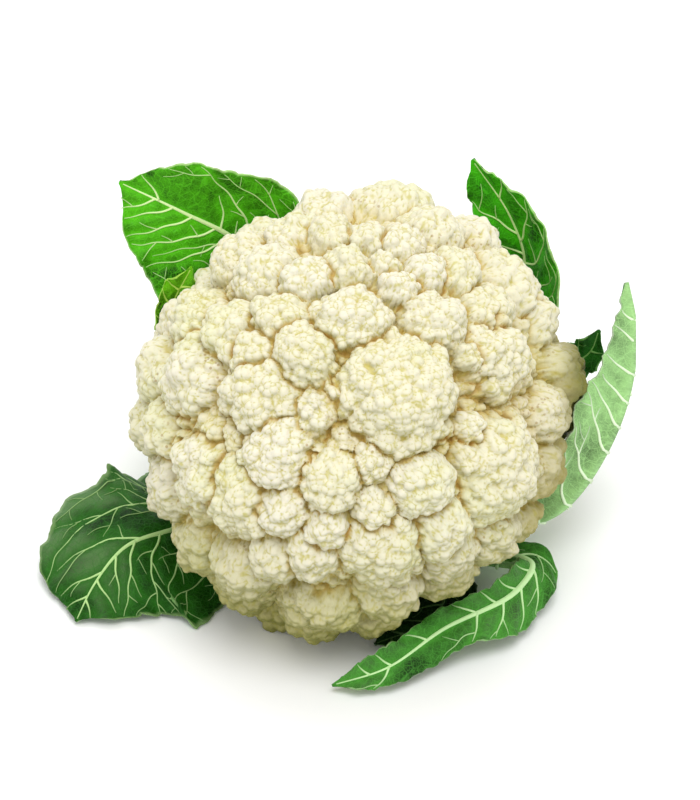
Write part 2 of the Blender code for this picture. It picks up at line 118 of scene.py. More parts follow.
# Lumps on each floret, the grooves between them and between florets, and the grains on each lump.
LOBED_RADIUS = 14.5
LOBE_COUNT = 9
LOBE_SHARE = (0.42, 0.56)
LOBE_STAND = 3.0
LOBE_RISE = (-0.6, 1.0)
LOBE_SPREAD = math.radians(95.0)
LUMP_RADIUS = (3.4, 6.2)
LUMP_SHARE = 0.5
LUMP_STAND = (0.4, 2.4)
FULL_STAND_RADIUS = 4.0
LUMP_DENSITY = 4.4
LEAST_LUMPS = 5
LUMP_SPREAD = math.radians(92.0)
DOME_SINK = 2.0
RING_JITTER = (0.1, 0.9)
TURN_JITTER = 0.2
WIDEST_SINE = 0.98
EDGE_ANGLE = 0.03
GROOVE_DEPTH = 0.45
GROOVE_WIDTH = 0.35
SEAM_DEPTH = 2.6
SEAM_WIDTH = 1.1
SWIRL = 0.012
SWIRL_SCALE = 9.0
SWIRL_WAVES = 5
NEIGHBOUR_SHARE = 0.3
GRAIN_CELL = 3.6
GRAIN_RISE = 0.75
GRAIN_LEVEL = 0.6
GRAIN_LINE = 0.42
GRAIN_NOTCH = 0.25
GRAIN_REACH = 0.66
FINE_CELL = 2.1
FINE_RISE = 0.2
FINE_LEVEL = 0.5
WIDE_SOFTENING = 30

# The mesh of the head: its fineness, its pull to the front, and how points slide down steep sides.
HEAD_FINENESS = 8
FRONT_PULL = 0.35
STEEP = (0.75, 0.4)
RELAX_TIMES = 8
RELAX_SHARE = 0.7

# The lattice behind the grains: each cell holds one feature point, placed by a hash of the cell.
HASH_PRIMES = (73856093, 19349663, 83492791)
HASH_FACTOR = 1103515245
HASH_TERM = 12345
SPOT_INSET = 0.15
SPOT_SPREAD = 0.7
FAR_AWAY = 1e9

# The underside, as in the CAD.
UNDER_LEVEL = -32.0
UNDER_FLAT_RADIUS = 30.0
UNDER_RIM_RADIUS = 80.0
UNDER_RIM_DROP = 20.0
UNDER_STEPS = 12

# How the head keeps clear of the leaves. None is near ways that run steeper than LEAFLESS.
LEAF_CLEARANCE = 1.2
LEAFLESS = 0.75
CLEARING_SHARE = 0.4
CLEARING_STEPS = 60
CLEARING_TIMES = 20

# Leaves, as in the CAD: u runs from 0 at the stalk to 1 at the tip, and half widths are given at
# STATIONS.
STATIONS = (0.0, 0.2, 0.4, 0.6, 0.8, 0.93, 1.0)
BLADE_THICKNESS = 0.7
RIB_CELL = 0.25
SCALLOP = 0.05
SCALLOP_COUNT = 5.5
FLOOR_GAP = 0.25
LEAVES = {
    "leaf_back_left": {
        "rib": [(-4, 36, 13), (-26, 76, 34), (-40, 93, 66), (-47, 81, 98), (-67, 77, 114),
                (-93, 80, 127)],
        "face": [(0, -0.5, 0.85), (0.2, -0.95, 0.2), (0.1, -0.95, 0.3)],
        "left": (8, 8, 20, 36, 36, 20, 2), "right": (8, 8, 18, 30, 28, 15, 2),
        "cup": (8, 8), "curl": (10, 6), "wave": (3.0, 3.0, 0.2), "stem": (8.0, 6.5),
    },
    "leaf_back_left_inner": {
        "rib": [(-14, 27, 22), (-50, 53, 36), (-73, 58, 60), (-71, 51, 86), (-63, 46, 108)],
        "face": [(0, -0.3, 0.95), (0.6, -0.6, 0.5), (0.2, -0.8, 0.5)],
        "left": (5, 5, 7, 9, 9, 7, 1.5), "right": (5, 5, 7, 9, 9, 7, 1.5),
        "cup": (12, 12), "curl": (5, 5), "wave": (1.5, 3.0, 0.0), "stem": (5.0, 4.5),
    },
    "leaf_back_right": {
        "rib": [(6, 36, 17), (36, 78, 36), (66, 91, 62), (73, 80, 90), (67, 82, 108),
                (51, 90, 131)],
        "face": [(0, -0.5, 0.85), (-0.5, -0.8, 0.2), (-0.35, -0.9, 0.2)],
        "left": (8, 8, 14, 15, 14, 11, 3), "right": (8, 8, 22, 31, 22, 9, 3),
        "cup": (6, 18), "curl": (10, 20), "wave": (4.5, 3.5, 0.35), "stem": (8.0, 6.5),
    },
    "leaf_right": {
        "rib": [(17, 30, 17), (54, 7, 11), (84, -7, 31), (100, -2, 53), (111, 13, 75),
                (113.5, 27, 94), (111, 38, 107)],
        "face": [(-0.1, 0.1, 0.95), (-0.66, 0.66, -0.1), (-0.66, 0.66, -0.26)],
        "left": (6, 6, 5, 11, 10, 5, 1.5), "right": (8, 8, 9, 20, 14, 7, 1.5),
        "cup": (70, 6), "curl": (10, 10), "wave": (2.5, 3.0, 0.6), "stem": (8.0, 6.5),
    },
    "leaf_right_inner": {
        "rib": [(12, 30, 26), (52, 50, 36), (86, 54, 50), (100, 51, 62), (103, 49, 74)],
        "face": [(0, -0.1, 0.95), (-0.6, -0.6, 0.5), (-0.3, -0.9, 0.2)],
        "left": (5, 5, 8, 10, 10, 7, 2), "right": (5, 5, 8, 10, 9, 6, 2),
        "cup": (10, 10), "curl": (5, 5), "wave": (1.5, 2.0, 0.1), "stem": (5.0, 4.5),
    },
    "leaf_front_right": {
        "rib": [(12, 15, 11), (50, -12, 11), (75, -30, 17), (68, -48, 18.5), (38, -68, 15.5),
                (15, -85, 10), (-6, -89, 5)],
        "face": [(0.1, 0.1, 0.95), (0.35, -0.2, 0.9), (0.15, -0.3, 0.9)],
        "left": (7, 13, 13, 14, 9, 6, 2), "right": (7, 7, 8, 8, 8, 6, 2),
        "cup": (-14, 15), "curl": (-14, 10), "wave": (4.0, 3.2, 0.1), "stem": (8.0, 6.0),
    },
    "leaf_under_right": {
        "rib": [(0, 10, 6), (20, -14, 6), (40, -33, 5.5), (32, -51, 5), (11, -63, 4)],
        "face": [(0, 0, 1), (0, 0, 1), (0, 0, 1)],
        "left": (5, 5, 10, 13, 12, 8, 2), "right": (5, 5, 10, 14, 13, 8, 2),
        "cup": (0, 0), "curl": (0, 0), "wave": (1.0, 3.0, 0.0), "stem": (5.0, 3.5),
    },
    "leaf_front_left": {
        "rib": [(-14, 24, 13), (-48, 6, 14), (-70, -10, 19), (-90, -23, 20), (-102, -37, 12),
                (-109, -49, 3)],
        "face": [(0, 0, 1), (-0.1, -0.1, 0.95), (-0.3, -0.3, 0.9)],
        "left": (8, 16, 34, 44, 34, 18, 2), "right": (8, 42, 50, 50, 38, 20, 2),
        "cup": (-18, -2), "curl": (-14, -14), "wave": (4.0, 3.0, 0.3), "stem": (8.0, 6.5),
    },
}
LEAF_ROWS = 170
LEAF_COLUMNS = 72
SMALL_LEAF = 130.0
LEAF_SEED = 20

# The blade's form. A pair (low, high) is where something sets in and where it is full.
SCALLOP_SHIFT = 0.4
RIB_TAPER = 0.85
RIB_SHARE = 0.8
U_STEP = 0.01
CUP_GROWTH = 2.5
WAVE_POWER = 1.5
WAVE_SHIFT = 0.37
RUFFLE = 0.9
RUFFLE_EDGE = (0.6, 1.0)
RUFFLE_START = (0.2, 0.4)
RUFFLE_COUNT = 4.3
RUFFLE_SHIFT = 0.5
PUCKER = 1.7
PUCKER_REACH = 5.5
PUCKER_START = (0.15, 0.3)
PUCKER_EDGE = (1.02, 0.9)
LOWER_PUCKER = 0.35
TIP_SHARE = 0.05
TIP_END = 1.003
TOOTH_DEPTH = 1.4
SMALL_TOOTH_DEPTH = 2.6
TOOTH_LENGTH = 6.2
TOOTH_SHIFT = 0.3
TOOTH_PEAK = 0.35
FINE_TOOTH = 0.4
FINE_TOOTH_RATE = 2.4
TOOTH_EDGE = (0.8, 1.0)
TOOTH_START = (0.25, 0.35)

# Veins. Offshoots: the gap between them, their turn in degrees, their size as a share of the
# parent's, the greatest length, and how near they come to others.
VEIN_START = 0.2
VEIN_END = 0.93
RIGHT_VEIN_DELAY = 5.0
SIDE_VEIN_GAP = 15.0
SIDE_VEIN_TURN = 70.0
SIDE_VEIN_FOLD = 28.0
SIDE_VEIN_BEND = (0.008, 0.018)
SIDE_VEIN = (150.0, 3.0)
THINNING = 0.4
BRANCHES = (11.0, (35, 55), 0.5, 30.0, 2.4)
TWIGS = (8.0, (50, 75), 0.55, 9.0, 1.6)
TURN_BACK = 0.02
VEIN_STEP = 1.2
VEIN_SPAN = (0.12, 0.985)
VEIN_EDGE = 0.95
VEIN_WANDER = 0.09
WANDER_RATE = 0.55
FREE_STEPS = 3
LEAST_STEPS = 4
GATHERED = 0.45
LEAST_SUNK_VEIN = 0.3
VEIN_LIFT = 0.08
VEIN_RADIUS = 0.62
VEIN_TIP_RADIUS = 0.12
UNDER_VEIN = 1.2
UNDER_VEIN_LIFT = 0.3
MIDRIB_SPAN = (0.02, 0.99)
MIDRIB_STEPS = 90
MIDRIB_TIP_RADIUS = 0.3
MIDRIB_TAPER = 1.2
MIDRIB_SINK = 0.4
TUBE_SIDES = 6

# What the leaf materials read: the pale stem and rim, how thick a vein is, the flat map's unit.
PALE_STEM = (0.32, 0.1)
RIM_EDGE = (0.97, 1.0)
THICK_VEIN = (0.05, 0.5)
FLAT_SCALE = 100

# Looks of each leaf: upper blade, lower blade, veins, the midrib's radius at its root, and the
# strength of the painted sheen with waxy bloom.
LEAF_LOOKS = {
    "leaf_back_left": ((0.075, 0.42, 0.006), (0.16, 0.42, 0.05), (0.70, 0.88, 0.42), 6.0, 0.0),
    "leaf_back_left_inner": ((0.13, 0.46, 0.005), (0.2, 0.46, 0.06), (0.6, 0.84, 0.15), 2.0, 0.0),
    "leaf_back_right": ((0.045, 0.40, 0.003), (0.16, 0.42, 0.06), (0.62, 0.84, 0.36), 3.4, 0.0),
    "leaf_right": ((0.03, 0.18, 0.02), (0.28, 0.50, 0.19), (0.72, 0.86, 0.60), 4.0, 0.15),
    # leaf_right_inner: all its colours darkened as painted shade, where it lies in the shade
    # between the head and leaf_right
    "leaf_right_inner": ((0.014, 0.11, 0.008), (0.12, 0.30, 0.06), (0.18, 0.4, 0.1), 2.0, 0.0),
    "leaf_front_right": ((0.052, 0.235, 0.024), (0.2, 0.4, 0.12), (0.54, 0.8, 0.38), 3.2, 0.12),
    # leaf_under_right: all its colours darkened as painted shade, where it lies in the dark gap
    # under the head
    "leaf_under_right": ((0.005, 0.035, 0.002), (0.04, 0.1, 0.03), (0.06, 0.14, 0.03), 1.5, 0.0),
    "leaf_front_left": ((0.013, 0.1, 0.004), (0.16, 0.34, 0.1), (0.42, 0.64, 0.24), 3.0, 0.25),
}


def unit(vector):
    return vector / np.linalg.norm(vector)


def units(vectors):
    return vectors / np.maximum(np.linalg.norm(vectors, axis=-1, keepdims=True), 1e-12)


def to_world(points):
    return (np.asarray(points) + TO_MIDDLE) * MM


def smoothstep(low, high, x):
    t = np.clip((x - low) / (high - low), 0, 1)
    return t * t * (3 - 2 * t)


def linked(name, data):
    obj = bpy.data.objects.new(name, data)
    bpy.context.scene.collection.objects.link(obj)
    return obj


def new_object(name, points, faces, materials, face_materials=None):
    """A smooth-shaded object from points in millimetres."""
    mesh = bpy.data.meshes.new(name)
    mesh.from_pydata(to_world(points).tolist(), [], faces)
    for material in materials:
        mesh.materials.append(material)
    if face_materials is not None:
        mesh.polygons.foreach_set("material_index", face_materials)
    mesh.update()
    mesh.shade_smooth()
    return linked(name, mesh)


def read(items, key, width, kind):
    """One value of every item of a mesh, in rows of width numbers."""
    values = np.empty(len(items) * width, kind)
    items.foreach_get(key, values)
    return values.reshape(-1, width)


def point_values(mesh, layers):
    for name, values in layers.items():
        layer = mesh.attributes.new(name, "FLOAT", "POINT")
        layer.data.foreach_set("value", np.asarray(values, np.float32))


# The curd


def to_head(vector):
    return np.array((vector @ SIDE, vector @ REAR, vector @ AXIS))


def swell(directions):
    """How far the head swells or sinks from its ellipsoid in each direction, as a factor."""
    factor = np.ones(len(directions))
    for right, up, out, share, spread in SWELLINGS:
        middle = unit(to_head(right * SIDE + up * FACE_UP + out * FACE_OUT))
        angle = np.degrees(np.arccos(np.clip(directions @ middle, -1, 1)))
        factor += share * np.exp(-((angle / spread) ** 2))
    return factor


def head_point(direction):
    return direction / np.linalg.norm(direction / HALF_AXES) * swell(direction[None])[0]


def spiral(count, at):
    """A direction on a golden-angle spiral from the top of the head to its rim."""
    polar = RIM_ANGLE * math.sqrt(at / count)
    turn = math.floor(at) * GOLDEN_ANGLE
    flat = math.sin(polar)
    return np.array((flat * math.cos(turn), flat * math.sin(turn), math.cos(polar)))


def face_direction(right, up):
    """The direction from HEART to what the front view shows at (right, up) on the ellipsoid."""
    place = right * SIDE + up * FACE_UP
    flat, out = to_head(place) / HALF_AXES, to_head(FACE_OUT) / HALF_AXES
    a, b, c = out @ out, 2 * flat @ out, flat @ flat - 1
    depth = (-b + math.sqrt(max(b * b - 4 * a * c, 0.0))) / (2 * a)
    return unit(to_head(place + depth * FACE_OUT))


def florets():
    """Every floret as (centre, radius, outward way), from HEART along SIDE, REAR and AXIS."""
    made = []
    for right, up, radius, rise in FACE_FLORETS:
        out = face_direction(right, up)
        made.append((head_point(out) - out * (radius - rise), float(radius), out))
    random = np.random.default_rng(SEED)
    tops = [centre + out * radius for centre, radius, out in made]
    for k in range(SPIRAL_COUNT):
        out = spiral(SPIRAL_COUNT, k + 0.5)
        radius = random.uniform(*SPIRAL_RADIUS)
        top = head_point(out) + out * random.uniform(*SPIRAL_RISE)
        crowded = any(
            np.linalg.norm(top - other) < SPIRAL_SPACING * (radius + size)
            for other, (_, size, _) in zip(tops, made)
        )
        if not crowded:
            made.append((top - out * radius, radius, out))
            tops.append(top)
    return [
        (centre - out * (FULLNESS - 1) * radius, FULLNESS * radius, out)
        for centre, radius, out in made
    ]


def low_florets():
    """The small domes that fill the gaps, like florets."""
    random = np.random.default_rng(SEED + 1)
    made = []
    for k in range(LOW_COUNT):
        out = spiral(LOW_COUNT, k + 0.5)
        radius = random.uniform(*LOW_RADIUS)
        made.append((head_point(out) - out * (radius + random.uniform(*LOW_DEPTH)), radius, out))
    return made


def ways_round(out, count, spread, random):
    """Directions spread evenly over a dome round out, each a little out of place."""
    across = unit(np.cross(out, (0.3, 0.5, 0.8)))
    along = np.cross(out, across)
    phase = random.uniform(0, math.tau)
    made = []
    for k in range(count):
        polar = spread * math.sqrt((k + random.uniform(*RING_JITTER)) / count)
        turn = phase + k * GOLDEN_ANGLE + random.uniform(-TURN_JITTER, TURN_JITTER)
        sideways = math.cos(turn) * across + math.sin(turn) * along
        made.append(math.cos(polar) * out + math.sin(polar) * sideways)
    return made


def lobes(radius, out, random):
    """The lobes of a large floret round its middle, as (centre, radius); a small one is a dome."""
    if radius < LOBED_RADIUS:
        return [(np.zeros(3), radius)]
    made = [(np.zeros(3), radius - LOBE_STAND)]
    for way in ways_round(out, LOBE_COUNT, LOBE_SPREAD, random):
        size = radius * random.uniform(*LOBE_SHARE)
        made.append((way * (radius - size + random.uniform(*LOBE_RISE)), size))
    return made


def lumps(shells, radius, out, random):
    """The rounded lumps over the lobes of one floret, round its middle, as (centre, radius)."""
    typical = min(np.mean(LUMP_RADIUS), LUMP_SHARE * radius)
    count = max(LEAST_LUMPS, round(LUMP_DENSITY * (radius / typical) ** 2))
    made = []
    for way in ways_round(out, count, LUMP_SPREAD, random):
        size = min(random.uniform(*LUMP_RADIUS), LUMP_SHARE * radius)
        stand = random.uniform(*LUMP_STAND) * min(1.0, size / FULL_STAND_RADIUS)
        surface = max(reach(way, middle, shell) for middle, shell in shells)
        made.append((way * (surface + stand - size), size))
    return made


def swirled(directions, random):
    """The directions bent to and fro a little, so that no floret is a true ball."""
    bent = directions.copy()
    for _ in range(SWIRL_WAVES):
        wave = directions @ random.normal(0, SWIRL_SCALE, 3) + random.uniform(0, math.tau)
        bent += SWIRL / 2 * np.sin(wave)[:, None] * random.normal(0, 1, 3)
    return units(bent)


def reach(directions, centre, radius):
    """How far each ray from HEART runs before it leaves a sphere, or 0 where it misses."""
    along = directions @ centre
    inside = along**2 - centre @ centre + radius**2
    return np.where(inside > 0, along + np.sqrt(np.maximum(inside, 0)), 0)


def head_field(ways):
    """Each way's distance to the surface, floret, and nearness to a groove and to a seam."""
    random = np.random.default_rng(SEED + 3)
    directions = swirled(ways, random)
    count = len(directions)
    first = swell(directions) / np.linalg.norm(directions / (HALF_AXES - CORE_DEPTH), axis=1)
    second = first - 1.0
    lump_gap = np.zeros(count)
    owner = np.full(count, -1)
    for n, (centre, radius, out) in enumerate(florets() + low_florets()):
        far = np.linalg.norm(centre)
        widest = math.asin(min(WIDEST_SINE, (radius + LUMP_STAND[1]) / far)) + EDGE_ANGLE
        near = np.flatnonzero(directions @ (centre / far) > math.cos(widest))
        rays = directions[near]
        shells = lobes(radius, out, random)
        top = np.zeros(len(rays))
        for middle, shell in shells:
            top = np.maximum(top, reach(rays, centre + middle, shell - DOME_SINK))
        next_top = top.copy()
        for middle, lump in lumps(shells, radius, out, random):
            height = reach(rays, centre + middle, lump)
            next_top = np.maximum(next_top, np.minimum(top, height))
            top = np.maximum(top, height)
        higher = top > first[near]
        second[near] = np.where(higher, first[near], np.maximum(second[near], top))
        first[near] = np.maximum(first[near], top)
        lump_gap[near[higher]] = (top - next_top)[higher]
        owner[near[higher]] = n
    groove = np.exp(-lump_gap / GROOVE_WIDTH)
    seam = np.exp(-(first - second) / SEAM_WIDTH)
    radii = first - GROOVE_DEPTH * groove - SEAM_DEPTH * seam
    flat = np.hypot(ways[:, 0], ways[:, 1])
    for _ in range(UNDER_STEPS):
        rim = (radii * flat - UNDER_FLAT_RADIUS) / (UNDER_RIM_RADIUS - UNDER_FLAT_RADIUS)
        level = UNDER_LEVEL - UNDER_RIM_DROP * np.maximum(rim, 0) ** 2
        below = radii * ways[:, 2] < level
        radii[below] = 0.5 * (radii[below] + level[below] / ways[below, 2])
        owner[below] = -1
    return radii, owner, groove, seam


def neighbour_mean(values, edges, degree):
    total = np.bincount(edges[:, 0], weights=values[edges[:, 1]], minlength=len(values))
    total += np.bincount(edges[:, 1], weights=values[edges[:, 0]], minlength=len(values))
    return total / degree


def softened(points, edges, degree, times):
    for _ in range(times):
        points = np.stack([neighbour_mean(points[:, i], edges, degree) for i in range(3)], axis=1)
    return points


def cell_noise(points, cell):
    """The distances from each point to the nearest two feature points of a lattice."""
    base = np.floor(points / cell).astype(np.int64)
    nearest = np.full(len(points), FAR_AWAY)
    next_nearest = nearest.copy()
    for dx in (-1, 0, 1):
        for dy in (-1, 0, 1):
            for dz in (-1, 0, 1):
                at = base + (dx, dy, dz)
                mixed = np.bitwise_xor.reduce(at * HASH_PRIMES, axis=1)
                spots = []
                for k in range(3):
                    mixed = (mixed * HASH_FACTOR + HASH_TERM + k) & 0x7FFFFFFF
                    spread = SPOT_SPREAD * ((mixed >> 8) & 0xFFFF) / 0xFFFF
                    spots.append(at[:, k] + SPOT_INSET + spread)
                far = np.linalg.norm(points - cell * np.stack(spots, axis=1), axis=1)
                next_nearest = np.minimum(next_nearest, np.maximum(nearest, far))
                nearest = np.minimum(nearest, far)
    return nearest, next_nearest


def relaxed(mesh, points, ways, edges, degree):
    """The points slid along the surface where it is steep, so that its sides get enough."""
    for _ in range(RELAX_TIMES):
        mesh.vertices.foreach_set("co", points.ravel())
        mesh.update()
        normals = vertex_normals(mesh)
        steep = smoothstep(*STEEP, np.einsum("ij,ij->i", normals, ways))
        slide = softened(points, edges, degree, 1) - points
        slide -= normals * np.einsum("ij,ij->i", normals, slide)[:, None]
        points = points + RELAX_SHARE * steep[:, None] * slide
    return points


def vertex_normals(mesh):
    return read(mesh.vertices, "normal", 3, np.float32).astype(float)


def head_sphere():
    """A fine sphere with its points drawn towards the side that faces the camera."""
    bm = bmesh.new()
    bmesh.ops.create_icosphere(bm, subdivisions=HEAD_FINENESS, radius=1.0)
    pull = Vector(to_head(FACE_OUT)) * FRONT_PULL
    for vertex in bm.verts:
        vertex.co = (vertex.co + pull).normalized()
    mesh = bpy.data.meshes.new("curd_surface")
    bm.to_mesh(mesh)
    bm.free()
    return mesh


def clear_of_leaves(ways, radii, tree):
    """Draws the surface in wherever a leaf passes below it or is nearer than the clearance."""
    heart = Vector(HEART)
    for i, way in enumerate(ways):
        way = Vector(way)
        if way.z > LEAFLESS:
            continue
        hit, _, _, distance = tree.ray_cast(heart, way, radii[i] + LEAF_CLEARANCE)
        if hit:
            radii[i] = distance - LEAF_CLEARANCE
        for _ in range(CLEARING_STEPS):
            if tree.find_nearest(heart + way * radii[i], LEAF_CLEARANCE)[0] is None:
                break
            radii[i] -= CLEARING_SHARE * LEAF_CLEARANCE
    return radii


def from_heart(points):
    """The direction and the distance of each point from HEART."""
    ways = points - HEART
    far = np.linalg.norm(ways, axis=1)
    return ways / far[:, None], far


def uncrossed(mesh, points, tree):
    """Draws in the faces that still cross a leaf, to the deepest of their corners."""
    ways, far = from_heart(points)
    faces = read(mesh.loops, "vertex_index", 1, np.int32).reshape(-1, 3)
    for _ in range(CLEARING_TIMES):
        head = BVHTree.FromPolygons((HEART + ways * far[:, None]).tolist(), faces.tolist())
        crossing = sorted({face for _, face in tree.overlap(head)})
        if not crossing:
            break
        corners = faces[crossing]
        np.minimum.at(far, corners, far[corners].min(axis=1)[:, None])
        moved = np.unique(corners)
        far[moved] = clear_of_leaves(ways[moved], far[moved], tree)
    return HEART + ways * far[:, None]


def blade_tree(blades):
    """A search tree over the finished leaves, in the CAD layout's millimetres."""
    points, faces = [], []
    for blade in blades:
        first = len(points)
        points += [Vector(np.array(v.co) / MM - TO_MIDDLE) for v in blade.data.vertices]
        faces += [[first + i for i in p.vertices] for p in blade.data.polygons]
    return BVHTree.FromPolygons(points, faces)


def beads(nearest, cell):
    """A round rise over each feature point of a lattice."""
    return np.clip(1 - (nearest / (GRAIN_REACH * cell)) ** 2, 0, 1)


def build_curd(material, blades):
    mesh = head_sphere()
    local = units(read(mesh.vertices, "co", 3, np.float32).astype(float))
    edges = read(mesh.edges, "vertices", 2, np.int32)
    degree = np.bincount(edges.ravel(), minlength=len(local))
    radii, owner, groove, seam = head_field(local)
    mean = neighbour_mean(radii, edges, degree)
    radii = (1 - NEIGHBOUR_SHARE) * radii + NEIGHBOUR_SHARE * mean
    nominal = swell(local) / np.linalg.norm(local / HALF_AXES, axis=1)
    ways = local @ np.array((SIDE, REAR, AXIS))
    tree = blade_tree(blades)
    radii = clear_of_leaves(ways, radii, tree)
    points = relaxed(mesh, HEART + ways * radii[:, None], ways, edges, degree)
    slid, far = from_heart(points)
    points = HEART + slid * clear_of_leaves(slid, far, tree)[:, None]
    mesh.vertices.foreach_set("co", points.ravel())
    mesh.update()
    normals = vertex_normals(mesh)
    nearest, next_nearest = cell_noise(points, GRAIN_CELL)
    edge = np.exp(-(next_nearest - nearest) / GRAIN_LINE)
    fine = beads(cell_noise(points, FINE_CELL)[0], FINE_CELL)
    on_head = owner >= 0
    rise = GRAIN_RISE * (beads(nearest, GRAIN_CELL) - GRAIN_LEVEL - GRAIN_NOTCH * edge)
    rise += FINE_RISE * (fine - FINE_LEVEL)
    points = points + normals * (rise * on_head)[:, None]
    points = uncrossed(mesh, np.clip(points, BOX_LOW, BOX_HIGH), tree)
    # hollow: how far the surface lies below its softened self, where the material paints shade
    wide = softened(points, edges, degree, WIDE_SOFTENING)
    hollow = np.einsum("ij,ij->i", wide - points, normals)
    mesh.vertices.foreach_set("co", to_world(points).ravel())
    mesh.update()
    mesh.shade_smooth()
    tints = np.random.default_rng(SEED + 2).uniform(0, 1, owner.max() + 2)
    # hollow, groove, seam, grain_edge and depth feed the painted shade of creases and recesses;
    # tint and underside are the curd's own colour
    point_values(mesh, {
        "hollow": hollow, "groove": groove, "seam": seam, "grain_edge": edge,
        "depth": nominal - radii, "tint": tints[owner], "underside": ~on_head,
    })
    mesh.materials.append(material)
    obj = linked("curd_surface", mesh)
    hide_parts("curd")
    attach(obj, "root")
    return obj


# Leaves


def through(knots, values, at):
    """A smooth curve through values at knots, read at many places."""
    knots = np.asarray(knots, float)
    values = np.asarray(values, float)
    slopes = np.gradient(values, knots, axis=0)
    k = np.clip(np.searchsorted(knots, at) - 1, 0, len(knots) - 2)
    step = knots[k + 1] - knots[k]
    t = (at - knots[k]) / step
    if values.ndim > 1:
        step, t = step[:, None], t[:, None]
    return (
        (2 * t**3 - 3 * t**2 + 1) * values[k]
        + (t**3 - 2 * t**2 + t) * step * slopes[k]
        + (-2 * t**3 + 3 * t**2) * values[k + 1]
        + (t**3 - t**2) * step * slopes[k + 1]
    )


class Leaf:
    """One leaf's surface, read at u along the rib and out across it, in millimetres."""

    def __init__(self, shape, seed):
        self.shape = shape
        self.random = np.random.default_rng(seed)
        self.rib = np.array(shape["rib"], float)
        lengths = np.linalg.norm(np.diff(self.rib, axis=0), axis=1)
        self.length = lengths.sum()
        self.knots = np.concatenate(([0], np.cumsum(lengths))) / self.length
        self.widest = max(max(shape["left"]), max(shape["right"]))
        self.veins = []

    def width(self, u, hand):
        right = through(STATIONS, self.shape["right"], u)
        left = through(STATIONS, self.shape["left"], u)
        scallop = 1 + SCALLOP * np.sin(math.tau * (SCALLOP_COUNT * u + SCALLOP_SHIFT * hand))
        return np.where(hand > 0, right, left) * scallop

    def rib_half(self, u, width):
        return np.minimum(self.shape["stem"][1] * (1 - RIB_TAPER * u), RIB_SHARE * width)

    def frame_at(self, u):
        spot = through(self.knots, self.rib, u)
        ahead = through(self.knots, self.rib, np.minimum(u + U_STEP, 1.0))
        behind = through(self.knots, self.rib, np.maximum(u - U_STEP, 0.0))
        along = units(ahead - behind)
        face = through((0.0, 0.5, 1.0), self.shape["face"], u)
        face = units(face - along * np.sum(face * along, axis=1, keepdims=True))
        return spot, along, face, np.cross(along, face)

    def points(self, u, out):
        """The upper surface, without relief."""
        hand = (out > 0).astype(float)
        width = self.width(u, hand)
        size = np.abs(out)
        spot, _, face, across = self.frame_at(u)
        cup = np.where(hand > 0, self.shape["cup"][1], self.shape["cup"][0])
        curl = np.where(hand > 0, self.shape["curl"][1], self.shape["curl"][0])
        angle = np.radians(cup + 0.5 * curl * size / width) * np.minimum(1.0, CUP_GROWTH * u)
        height, count, phase = self.shape["wave"]
        turn = math.tau * (count * u + phase + WAVE_SHIFT * hand)
        wave = height * (size / self.widest) ** WAVE_POWER * np.sin(turn)
        ruffle = RUFFLE * smoothstep(*RUFFLE_EDGE, size / width) * smoothstep(*RUFFLE_START, u)
        wave += ruffle * np.sin(math.tau * (RUFFLE_COUNT * count * u + RUFFLE_SHIFT * hand))
        sideways = np.sign(out) * size * np.cos(angle)
        return spot + across * sideways[:, None] + face * (size * np.sin(angle) + wave)[:, None]

    def cell(self, u, out):
        """How far across the half blade, from 0 on the midrib to 1 on the edge."""
        width = self.width(u, (out > 0).astype(float))
        half = self.rib_half(u, width)
        size = np.abs(out)
        beyond = RIB_CELL + (1 - RIB_CELL) * (size - half) / (width - half)
        return np.where(size <= half, RIB_CELL * size / half, beyond)

    def thickness(self, u, out):
        ridge = np.maximum(0.0, 1 - 2 * self.cell(u, out)) ** 2
        return BLADE_THICKNESS + self.shape["stem"][0] * (1 - RIB_TAPER * u) * ridge

    def relief(self, u, out, away):
        """The blade sinks along the veins and swells between them."""
        share = smoothstep(*PUCKER_START, u) * smoothstep(*PUCKER_EDGE, self.cell(u, out))
        return PUCKER * (smoothstep(0, PUCKER_REACH, away) - 0.5) * share

    def normals(self, u, out):
        du, dv = 0.004, 0.4
        u = np.clip(u, du, 1 - du)
        one = self.points(u + du, out) - self.points(u - du, out)
        two = self.points(u, out + dv) - self.points(u, out - dv)
        return units(np.cross(two, one))

    def grow_veins(self):
        """Side veins that leave the midrib and bend to the tip, their branches, and the twigs."""
        for hand in (-1, 1):
            mains = []
            start = VEIN_START * self.length + (RIGHT_VEIN_DELAY if hand > 0 else 0.0)
            while start < VEIN_END * self.length:
                share = start / self.length
                size = 1 - THINNING * share
                turn = SIDE_VEIN_TURN - SIDE_VEIN_FOLD * share + self.random.uniform(-5, 5)
                bend = -hand * self.random.uniform(*SIDE_VEIN_BEND)
                path = self.vein((start, 0.0), hand * math.radians(turn), bend, size, *SIDE_VEIN)
                mains.append((path, size))
                start += SIDE_VEIN_GAP * size * self.random.uniform(0.8, 1.25)
            branches = self.offshoots(mains, *BRANCHES)
            self.offshoots(branches, *TWIGS)

    def offshoots(self, parents, gap, turns, share, length, clear):
        """Veins that leave the parents on alternate sides; parents and veins are (path, size)."""
        made = []
        for path, size in parents:
            side = self.random.choice((-1, 1))
            at = gap * self.random.uniform(0.7, 1.2)
            while at < VEIN_STEP * (len(path) - 2):
                k = int(at / VEIN_STEP)
                ahead = path[k + 1] - path[k]
                turn = side * math.radians(self.random.uniform(*turns))
                heading = math.atan2(ahead[1], ahead[0]) + turn
                thinner = size * share * (1 - THINNING * k / len(path))
                grown = self.vein(path[k], heading, -TURN_BACK * turn, thinner, length, clear)
                if len(grown):
                    made.append((grown, thinner))
                side = -side
                at += 0.5 * gap * self.random.uniform(0.8, 1.3)
        return made

